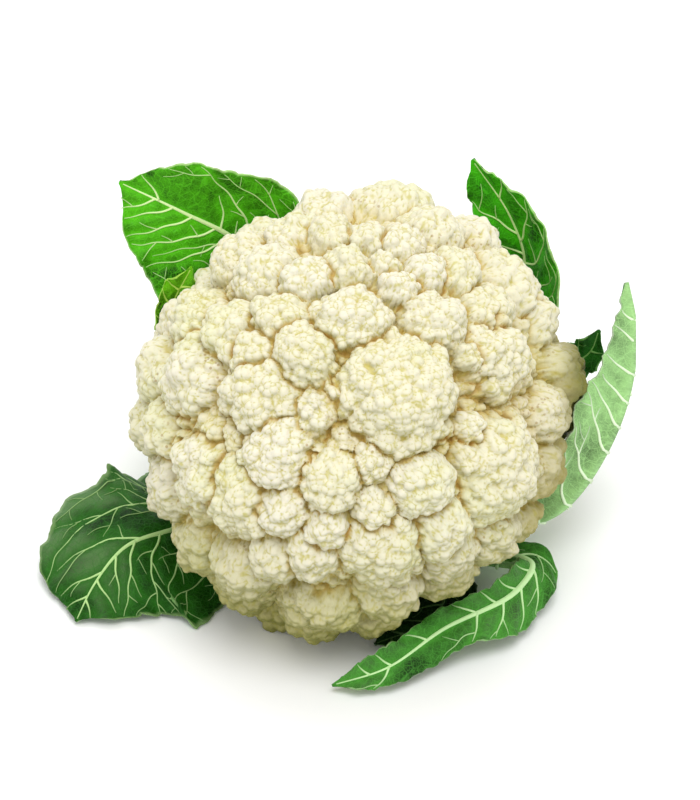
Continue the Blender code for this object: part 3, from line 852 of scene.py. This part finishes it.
    def vein(self, start, heading, bend, size, length, clear):
        """One vein as points (along, out) in flat millimetres; it ends before it meets another."""
        spot = np.array(start, float)
        steps = [spot]
        wander = self.random.uniform(0, math.tau)
        others = np.concatenate([path for path, _ in self.veins] or [np.full((1, 2), FAR_AWAY)])
        place = self.points(spot[:1] / self.length, spot[1:])[0]
        while len(steps) * VEIN_STEP < length:
            heading += bend + VEIN_WANDER * math.sin(WANDER_RATE * len(steps) + wander)
            spot = spot + VEIN_STEP * np.array((math.cos(heading), math.sin(heading)))
            share, out = spot[0] / self.length, spot[1:]
            inside = VEIN_SPAN[0] < share < VEIN_SPAN[1]
            if not inside or self.cell(np.array([share]), out)[0] > VEIN_EDGE:
                break
            crowded = min(np.min(np.linalg.norm(others - spot, axis=1)), abs(spot[1])) < clear
            before, place = place, self.points(spot[:1] / self.length, out)[0]
            gathered = np.linalg.norm(place - before) < GATHERED * VEIN_STEP
            if len(steps) > FREE_STEPS and (crowded or gathered):
                break
            steps.append(spot)
        if len(steps) > LEAST_STEPS:
            self.veins.append((np.array(steps), size))
            return np.array(steps)
        return np.empty((0, 2))

    def vein_distance(self, u, out):
        """The flat distance from each place to the nearest vein, in millimetres."""
        at = np.stack([u * self.length, out], axis=1)
        nearest = np.abs(out)
        for path, size in self.veins:
            if size < LEAST_SUNK_VEIN:
                continue
            for a, b in zip(path[:-1], path[1:]):
                line = b - a
                t = np.clip(((at - a) @ line) / (line @ line), 0, 1)
                nearest = np.minimum(nearest, np.linalg.norm(at - a - t[:, None] * line, axis=1))
        return nearest


def tube(path, normals, radii, lift):
    """A closed tube along a path, lifted from the surface that it runs on or sunk in it."""
    along = units(np.gradient(path, axis=0))
    sideways = units(np.cross(along, normals))
    up = np.cross(sideways, along)
    turn = (math.tau * np.arange(TUBE_SIDES) / TUBE_SIDES)[None, :, None]
    ring = np.cos(turn) * sideways[:, None] + np.sin(turn) * up[:, None]
    points = (path + normals * lift[:, None])[:, None] + radii[:, None, None] * ring
    faces = []
    for start in range(0, (len(path) - 1) * TUBE_SIDES, TUBE_SIDES):
        for k in range(TUBE_SIDES):
            a, b = start + k, start + (k + 1) % TUBE_SIDES
            faces.append((a, b, b + TUBE_SIDES, a + TUBE_SIDES))
    faces.append(tuple(range(TUBE_SIDES))[::-1])
    last = (len(path) - 1) * TUBE_SIDES
    faces.append(tuple(range(last, last + TUBE_SIDES)))
    return points.reshape(-1, 3), faces


def blade_faces(rows, columns):
    """The faces and material slots of a closed sheet: upper points row by row, then lower ones."""
    faces, slots = [], []
    step = columns + 1
    count = (rows + 1) * step
    for r in range(rows):
        for c in range(columns):
            a = r * step + c
            faces.append((a, a + 1, a + 1 + step, a + step)[::-1])
            slots.append(0)
            faces.append((a + count, a + 1 + count, a + 1 + step + count, a + step + count))
            slots.append(1)
    border = list(range(columns))
    border += [r * step + columns for r in range(rows)]
    border += [rows * step + c for c in range(columns, 0, -1)]
    border += [r * step for r in range(rows, 0, -1)]
    for a, b in zip(border, border[1:] + border[:1]):
        faces.append((a, b, b + count, a + count))
        slots.append(0)
    return faces, slots


def vein_tubes(leaf, path, size, rib_radius):
    """A vein's tubes on both faces of the blade, or the midrib's on the upper one: size None."""
    u, out = path[:, 0] / leaf.length, path[:, 1]
    facing = leaf.normals(u, out)
    thickness = leaf.thickness(u, out)
    sunk = leaf.relief(u, out, leaf.vein_distance(u, out))
    surface = leaf.points(u, out) + facing * sunk[:, None]
    surface[:, 2] = np.maximum(surface[:, 2], FLOOR_GAP + thickness)
    if size is None:
        radii = MIDRIB_TIP_RADIUS + rib_radius * (1 - u) ** MIDRIB_TAPER
        return [(surface, facing, radii, -MIDRIB_SINK * radii)]
    run = np.linspace(0, 1, len(path))
    radii = VEIN_TIP_RADIUS + VEIN_RADIUS * size * (1 - RIB_TAPER * run)
    under = surface - facing * (thickness + LOWER_PUCKER * sunk)[:, None]
    return [
        (surface, facing, radii, np.full(len(path), VEIN_LIFT)),
        (under, -facing, UNDER_VEIN * radii, UNDER_VEIN_LIFT * radii),
    ]


def build_leaf(name, shape, seed, materials, rib_radius):
    """A closed, veined, toothed and ruffled blade; materials are upper, lower and vein."""
    leaf = Leaf(shape, seed)
    leaf.grow_veins()
    small = leaf.length < SMALL_LEAF
    rows, columns = LEAF_ROWS, LEAF_COLUMNS
    if small:
        rows, columns = LEAF_ROWS * 2 // 3, LEAF_COLUMNS // 2
    grid = np.meshgrid(np.linspace(0, 1, rows + 1), np.linspace(-1, 1, columns + 1), indexing="ij")
    u, side = (axis.ravel() for axis in grid)
    width = leaf.width(u, (side > 0).astype(float))
    half = leaf.rib_half(u, width)
    cell = np.abs(side)
    beyond = half + (width - half) * (cell - RIB_CELL) / (1 - RIB_CELL)
    out = np.where(cell <= RIB_CELL, half * cell / RIB_CELL, beyond)
    out *= np.sqrt(np.clip((TIP_END - u) / TIP_SHARE, 0, 1))
    along = u * leaf.length + TOOTH_SHIFT * TOOTH_LENGTH * (side > 0)
    teeth = np.abs((along / TOOTH_LENGTH) % 1.0 - TOOTH_PEAK)
    teeth += FINE_TOOTH * np.abs((FINE_TOOTH_RATE * along / TOOTH_LENGTH) % 1.0 - 0.5)
    teeth *= SMALL_TOOTH_DEPTH if small else TOOTH_DEPTH
    out -= teeth * smoothstep(*TOOTH_EDGE, cell) * smoothstep(*TOOTH_START, u)
    out = np.copysign(out, side)
    away = leaf.vein_distance(u, out)
    thickness = leaf.thickness(u, out)
    normals = leaf.normals(u, out)
    relief = leaf.relief(u, out, away)
    upper = leaf.points(u, out) + normals * relief[:, None]
    upper[:, 2] = np.maximum(upper[:, 2], FLOOR_GAP + thickness)
    lower = upper - normals * (thickness + LOWER_PUCKER * relief)[:, None]
    lower[:, 2] = np.maximum(lower[:, 2], FLOOR_GAP)
    points = [upper, lower]
    faces, slots = blade_faces(rows, columns)
    total = 2 * len(upper)
    flat = [np.stack([u * leaf.length, out], axis=1)] * 2
    pales = [smoothstep(*PALE_STEM, u)] * 2
    rims = [smoothstep(*RIM_EDGE, cell)] * 2
    aways = [away] * 2
    rib_steps = np.linspace(*MIDRIB_SPAN, MIDRIB_STEPS) * leaf.length
    midrib = (np.stack([rib_steps, np.zeros_like(rib_steps)], axis=1), None)
    for path, size in [midrib, *leaf.veins]:
        for base, facing, radii, lift in vein_tubes(leaf, path, size, rib_radius):
            ring, quads = tube(base, facing, radii, lift)
            ring[:, 2] = np.maximum(ring[:, 2], FLOOR_GAP)
            points.append(ring)
            faces += [tuple(i + total for i in quad) for quad in quads]
            slots += [2] * len(quads)
            flat.append(np.repeat(path, TUBE_SIDES, axis=0))
            pales.append(np.repeat(smoothstep(*THICK_VEIN, radii), TUBE_SIDES))
            rims.append(np.zeros(len(ring)))
            aways.append(np.zeros(len(ring)))
            total += len(ring)
    points = np.clip(np.concatenate(points), BOX_LOW, BOX_HIGH)
    obj = new_object(name + "_blade", points, faces, materials, slots)
    mesh = obj.data
    layer = mesh.uv_layers.new(name="flat")
    loops = read(mesh.loops, "vertex_index", 1, np.int32).ravel()
    layer.data.foreach_set("uv", (np.concatenate(flat)[loops] / FLAT_SCALE).ravel())
    layers = {"pale": pales, "rim": rims, "away": aways}
    point_values(mesh, {key: np.concatenate(values) for key, values in layers.items()})
    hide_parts(name)
    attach(obj, "root")
    return obj


# Materials

# The curd: two creams, and for each mark its strength and colour, in the order they are laid on:
# real stains, painted shade, and real browning with painted shade in the seams.
CURD_CREAMS = (0.77, 0.735, 0.595), (0.74, 0.705, 0.52)
CURD_STAINS_AND_SHADE = {
    "patch": (1.0, (0.72, 0.71, 0.47)),
    # painted shade: grain_edge, groove, hollow, depth and halo darken the creases between grains,
    # lumps and florets, the recesses and the ground round the seams
    "grain_edge": (0.85, (0.54, 0.49, 0.14)),
    "groove": (0.7, (0.53, 0.46, 0.10)),
    "hollow": (0.6, (0.55, 0.45, 0.09)),
    "depth": (0.4, (0.58, 0.45, 0.12)),
    "halo": (0.55, (0.58, 0.44, 0.10)),
    # the seam: real browning between florets, and painted shade in them
    "seam": (1.0, (0.37, 0.19, 0.02)),
    "specks": (0.6, (0.34, 0.20, 0.05)),
    # painted shade: low, down, right and far_right darken the florets near the floor, those that
    # face down and those at the rear right beside the right leaf, and tint them olive
    "low": (0.85, (0.34, 0.31, 0.05)),
    "down": (0.9, (0.19, 0.19, 0.03)),
    "right": (0.75, (0.34, 0.28, 0.05)),
    "far_right": (0.9, (0.15, 0.15, 0.02)),
    "underside": (1.0, (0.62, 0.66, 0.36)),
}
# The marks that follow a value of the mesh, painted shade in creases, recesses and round the seams:
# which one, and where the mark sets in and is full.
CURD_RAMPS = {
    "grain_edge": ("grain_edge", 0.25, 1.0),
    "groove": ("groove", 0.15, 1.0),
    "hollow": ("hollow", 0.3, 2.4),
    "depth": ("depth", 0.0, 8.0),
    "halo": ("seam", 0.06, 0.6),
    "seam": ("seam", 0.3, 0.95),
}
# A pale grey green for the painted sheen on the leaves, with some real waxy bloom.
SHEEN_AND_BLOOM = (0.26, 0.46, 0.18)
STEM = (0.66, 0.74, 0.42)
STALK_GREENS = (0.62, 0.70, 0.38), (0.50, 0.60, 0.26)
STALK_FIBRE = (0.78, 0.80, 0.58)


class Nodes:
    """A short way to write a node tree."""

    def __init__(self, name):
        self.material = bpy.data.materials.new(name)
        self.material.use_nodes = True
        self.tree = self.material.node_tree
        self.shader = self.tree.nodes["Principled BSDF"]

    def add(self, kind, **settings):
        node = self.tree.nodes.new("ShaderNode" + kind)
        for key, value in settings.items():
            if key in node.inputs:
                node.inputs[key].default_value = value
            else:
                setattr(node, key, value)
        return node

    def fill(self, sockets, values):
        """Links each value that is a socket, and sets the others on the sockets themselves."""
        for socket, value in zip(sockets, values):
            if isinstance(value, bpy.types.NodeSocket):
                self.tree.links.new(value, socket)
            elif isinstance(value, tuple) and socket.type == "RGBA":
                socket.default_value = (*value, 1.0)
            else:
                socket.default_value = value

    def attribute(self, name):
        return self.add("Attribute", attribute_name=name).outputs["Fac"]

    def place(self):
        return self.add("TexCoord").outputs["Object"]

    def ramp(self, value, low, high):
        """0 at low, 1 at high, smooth between."""
        node = self.add("MapRange", interpolation_type="SMOOTHSTEP")
        self.fill(node.inputs, (value, low, high))
        return node.outputs["Result"]

    def mix(self, factor, one, two):
        node = self.add("Mix", data_type="RGBA")
        self.fill((node.inputs[0], node.inputs[6], node.inputs[7]), (factor, one, two))
        return node.outputs[2]

    def maths(self, operation, one, two):
        node = self.add("Math", operation=operation)
        self.fill(node.inputs, (one, two))
        return node.outputs[0]

    def times(self, one, two):
        return self.maths("MULTIPLY", one, two)

    def plus(self, one, two):
        return self.maths("ADD", one, two)

    def stain(self, colour, mask, strength, stain):
        """The colour with another laid over it where the mask is: a real stain, painted shade or
        painted sheen.
        """
        return self.mix(self.times(mask, strength), colour, stain)

    def noise(self, where, scale, detail):
        node = self.add("TexNoise", Scale=scale, Detail=detail)
        self.fill([node.inputs["Vector"]], [where])
        return node.outputs["Fac"]

    def cells(self, where, scale, feature="F1"):
        """The distance to the middles or the edges of a pattern of cells."""
        node = self.add("TexVoronoi", feature=feature, Scale=scale)
        self.fill([node.inputs["Vector"]], [where])
        return node.outputs["Distance"]

    def split(self, vector):
        node = self.add("SeparateXYZ")
        self.fill(node.inputs, [vector])
        return node.outputs

    def bump(self, height, distance, strength):
        node = self.add("Bump", Distance=distance, Strength=strength)
        self.fill([node.inputs["Height"]], [height])
        self.surface({"Normal": node.outputs["Normal"]})

    def surface(self, settings):
        for key, value in settings.items():
            self.fill([self.shader.inputs[key]], [value])


def curd_masks(nodes, place):
    """Where each mark of the curd lies, from 0 to 1: real stains, and painted shade in creases, low
    down and at the rear right.
    """
    masks = {
        key: nodes.ramp(nodes.attribute(name), low, high)
        for key, (name, low, high) in CURD_RAMPS.items()
    }
    masks["patch"] = nodes.ramp(nodes.noise(place, 28.0, 3.0), 0.45, 0.75)
    browning = nodes.ramp(nodes.noise(place, 45.0, 3.0), 0.4, 0.65)
    masks["seam"] = nodes.times(masks["seam"], nodes.plus(0.5, nodes.times(browning, 0.5)))
    recess = nodes.ramp(nodes.attribute("depth"), -2.5, 1.0)
    specks = nodes.times(nodes.ramp(nodes.cells(place, 420.0), 0.3, 0.18), recess)
    masks["specks"] = nodes.times(specks, nodes.ramp(nodes.noise(place, 60.0, 2.0), 0.48, 0.62))
    spot = nodes.split(place)
    # Painted shade: darker and more olive towards the floor.
    masks["low"] = nodes.ramp(spot["Z"], 0.085, 0.006)
    # Painted shade on the florets at the rear right beside the right leaf, darkest at the far
    # right.
    towards = nodes.add("VectorMath", operation="DOT_PRODUCT")
    nodes.fill(towards.inputs, (place, FACE_OUT))
    behind = nodes.ramp(towards.outputs["Value"], 0.084, 0.054)
    right = nodes.times(nodes.ramp(spot["X"], 0.064, 0.086), behind)
    masks["right"] = nodes.times(right, nodes.ramp(spot["Z"], 0.106, 0.084))
    masks["far_right"] = nodes.ramp(spot["X"], 0.086, 0.1)
    # Painted shade on the faces that turn down, strongest near the floor.
    facing = nodes.split(nodes.add("NewGeometry").outputs["Normal"])
    down = nodes.ramp(facing["Z"], 0.35, -0.4)
    masks["down"] = nodes.times(down, nodes.plus(0.35, nodes.times(masks["low"], 0.65)))
    masks["underside"] = nodes.attribute("underside")
    return masks


def curd_material():
    nodes = Nodes("curd_surface")
    place = nodes.place()
    masks = curd_masks(nodes, place)
    colour = nodes.mix(nodes.attribute("tint"), *CURD_CREAMS)
    for key, (strength, stain) in CURD_STAINS_AND_SHADE.items():
        colour = nodes.stain(colour, masks[key], strength, stain)
    nodes.surface({
        "Base Color": colour, "Roughness": 0.55, "Specular IOR Level": 0.3,
        "Subsurface Weight": 0.08, "Subsurface Radius": (1.0, 0.7, 0.35), "Subsurface Scale": 0.001,
    })
    nodes.bump(nodes.maths("SUBTRACT", 1.0, nodes.cells(place, 700.0)), 0.0005, 0.5)
    return nodes.material


def blade_material(name, colour, vein, roughness, sheen_and_bloom, contrast):
    """A blade's side: painted shade away from the veins with random mottling, a net of fine veins,
    a pale rim, and painted sheen with some real waxy bloom.
    """
    nodes = Nodes(name)
    flat = nodes.add("UVMap", uv_map="flat").outputs["UV"]
    place = nodes.place()
    lines = nodes.ramp(nodes.cells(flat, 30.0, "DISTANCE_TO_EDGE"), 0.07, 0.0)
    fine_lines = nodes.ramp(nodes.cells(flat, 90.0, "DISTANCE_TO_EDGE"), 0.12, 0.0)
    away = nodes.ramp(nodes.attribute("away"), 0.3, 4.5)
    mottled = nodes.ramp(nodes.noise(place, 320.0, 2.0), 0.35, 0.7)
    patches = nodes.ramp(nodes.noise(place, 60.0, 4.0), 0.42, 0.9)
    # Painted shade of the quilting: darker away from the veins, mixed with random mottling.
    dark = nodes.plus(nodes.times(away, 0.45), nodes.plus(patches, nodes.times(mottled, 0.25)))
    lighter = tuple(1.25 * c for c in colour)
    darker = tuple((1 - contrast) * c for c in colour)
    green = nodes.mix(nodes.maths("MINIMUM", dark, 1.0), lighter, darker)
    # Painted sheen on the raised blade between the veins, with some real waxy bloom.
    sheen_and_bloom_patches = nodes.ramp(nodes.noise(place, 22.0, 2.0), 0.48, 0.68)
    green = nodes.stain(green, nodes.times(sheen_and_bloom_patches, nodes.plus(0.3, away)), sheen_and_bloom, SHEEN_AND_BLOOM)
    netting = tuple(1.7 * c + 0.015 for c in colour)
    green = nodes.stain(green, fine_lines, 0.3, netting)
    green = nodes.stain(green, lines, 0.4, netting)
    green = nodes.stain(green, nodes.attribute("rim"), 0.5, vein)
    stem = tuple(0.5 * a + 0.5 * b for a, b in zip(vein, STEM))
    green = nodes.mix(nodes.attribute("pale"), green, stem)
    nodes.surface({"Base Color": green, "Roughness": roughness, "Specular IOR Level": 0.1})
    sunk = nodes.plus(nodes.times(lines, -0.6), nodes.times(fine_lines, -0.35))
    nodes.bump(sunk, 0.0005, 0.6)
    return nodes.material


def vein_material(name, colour, blade):
    """A vein: paler where it is thick, and close to the blade's green where it is fine."""
    nodes = Nodes(name)
    patches = nodes.noise(nodes.place(), 180.0, 3.0)
    paler = tuple(min(1.0, 1.15 * c) for c in colour)
    fine = tuple(0.42 * a + 0.58 * b for a, b in zip(colour, blade))
    thick = nodes.mix(patches, colour, paler)
    shade = nodes.mix(nodes.attribute("pale"), fine, thick)
    nodes.surface({"Base Color": shade, "Roughness": 0.6})
    nodes.bump(patches, 0.0003, 0.4)
    return nodes.material


def stalk_material():
    nodes = Nodes("stalk_skin")
    place = nodes.place()
    stretched = nodes.add("Mapping")
    nodes.fill([stretched.inputs["Vector"], stretched.inputs["Scale"]], [place, (1.0, 1.0, 0.25)])
    fibres = nodes.noise(stretched.outputs["Vector"], 220.0, 4.0)
    colour = nodes.mix(nodes.ramp(nodes.noise(place, 40.0, 3.0), 0.35, 0.7), *STALK_GREENS)
    colour = nodes.stain(colour, fibres, 0.35, STALK_FIBRE)
    nodes.surface({"Base Color": colour, "Roughness": 0.5})
    nodes.bump(fibres, 0.0008, 0.6)
    return nodes.material


# The stage: a white floor under a pale sky, and two soft lamps as (place in metres, size, watts).
FLOOR_HALF = 3000
FLOOR_WHITE = (0.98, 0.98, 0.98)
SKY_STRENGTH = 0.8
LAMPS = {"key": ((0.15, -0.85, 2.3), 1.4, 27.0), "top": ((-0.1, 0.9, 2.3), 1.4, 12.0)}
LAMP_AIM = (0.0, 0.0, 0.07)


def build_stage():
    signs = ((-1, -1), (1, -1), (1, 1), (-1, 1))
    corners = [(FLOOR_HALF * x, FLOOR_HALF * y, 0) for x, y in signs]
    nodes = Nodes("floor")
    nodes.surface({"Base Color": FLOOR_WHITE, "Roughness": 0.7})
    floor = new_object("floor", corners, [(0, 1, 2, 3)], [nodes.material])


def aimed(name, data, spot, way):
    """A lamp or camera at a spot, looking along way."""
    obj = linked(name, data)
    obj.location = spot
    obj.rotation_mode = "QUATERNION"
    obj.rotation_quaternion = way.to_track_quat("-Z", "Y")
    return obj


def build_light():
    world = bpy.data.worlds.new("studio")
    bpy.context.scene.world = world
    world.use_nodes = True
    sky = world.node_tree.nodes["Background"]
    sky.inputs["Color"].default_value = (1.0, 1.0, 1.0, 1.0)
    sky.inputs["Strength"].default_value = SKY_STRENGTH
    for name, (spot, size, power) in LAMPS.items():
        lamp = bpy.data.lights.new(name, "AREA")
        lamp.shape = "DISK"
        lamp.size = size
        lamp.energy = power
        aimed(name, lamp, spot, Vector(LAMP_AIM) - Vector(spot))
    bpy.context.scene.view_settings.view_transform = "Standard"


# The camera looks at AIM from CAMERA_DISTANCE, and the frame is FRAME_HEIGHT tall there.
AIM = np.array((1.2, 1.9, 73.0)) + 2.0 * FACE_UP
CAMERA_DISTANCE = 1400.0
FRAME_HEIGHT = 320.0
SENSOR = 36.0


def build_camera():
    data = bpy.data.cameras.new("camera")
    data.sensor_width = SENSOR
    data.lens = SENSOR * CAMERA_DISTANCE / FRAME_HEIGHT
    spot = to_world(AIM + FACE_OUT * CAMERA_DISTANCE)
    camera = aimed("camera", data, spot, Vector(-FACE_OUT))
    bpy.context.scene.camera = camera


def dress():
    blades = []
    for n, (name, shape) in enumerate(LEAVES.items()):
        upper, lower, vein, rib_radius, sheen_and_bloom = LEAF_LOOKS[name]
        materials = [
            blade_material(name + "_upper", upper, vein, 0.4, sheen_and_bloom, 0.8),
            blade_material(name + "_lower", lower, vein, 0.55, sheen_and_bloom, 0.55),
            vein_material(name + "_veins", vein, upper),
        ]
        blades.append(build_leaf(name, shape, LEAF_SEED + n, materials, rib_radius))
    build_curd(curd_material(), blades)
    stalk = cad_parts["stalk"]
    stalk.data.materials.clear()
    stalk.data.materials.append(stalk_material())
    stalk.data.shade_smooth()


build_camera()
build_stage()
build_light()
dress()
